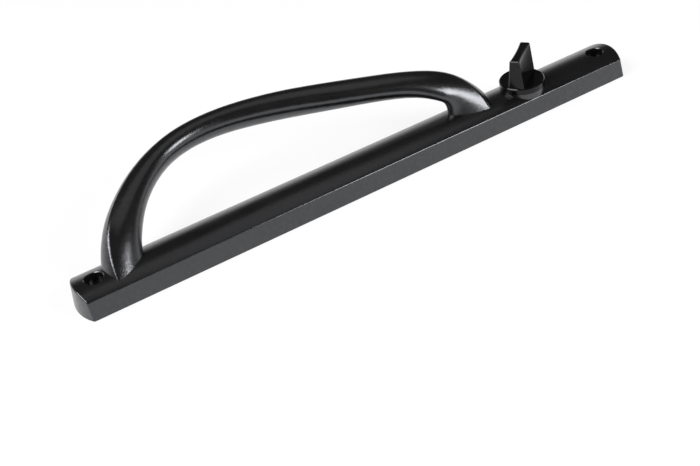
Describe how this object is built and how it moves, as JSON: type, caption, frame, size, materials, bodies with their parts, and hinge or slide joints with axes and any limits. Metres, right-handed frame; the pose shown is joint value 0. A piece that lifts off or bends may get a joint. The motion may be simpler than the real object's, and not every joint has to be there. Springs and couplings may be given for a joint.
{
  "type": "sliding patio door handle",
  "caption": "Inside handle of a sliding patio door: a crowned cast plate with a pull loop that leans to one side, and a thumbturn that works the lock.",
  "frame": {"origin": "midway between the two screw holes, on the back plane of the plate", "axes": "+X along the plate towards the thumbturn, +Y to the side that the loop leans to, +Z out of the door"},
  "size_m": [0.2818, 0.0607, 0.0378],
  "materials": {
    "satin_black_coat": "satin black powder coat on a zinc casting",
    "gloss_black_coat": "glossier black coat on a zinc casting",
    "spring_steel": "bright spring steel sheet",
    "blackened_steel": "blackened spring steel"
  },
  "bodies": {
    "plate": {"handle_casting": "satin_black_coat", "wave_washer": "spring_steel"},
    "turn": {"thumbturn": "gloss_black_coat", "retaining_ring": "blackened_steel"}
  },
  "joints": [
    {"name": "thumb_turn", "type": "hinge", "parent": "plate", "child": "turn", "pos_m": [0.0868, 0, 0], "axis": [0, 0, 1], "range_deg": [-38, 52]}
  ]
}
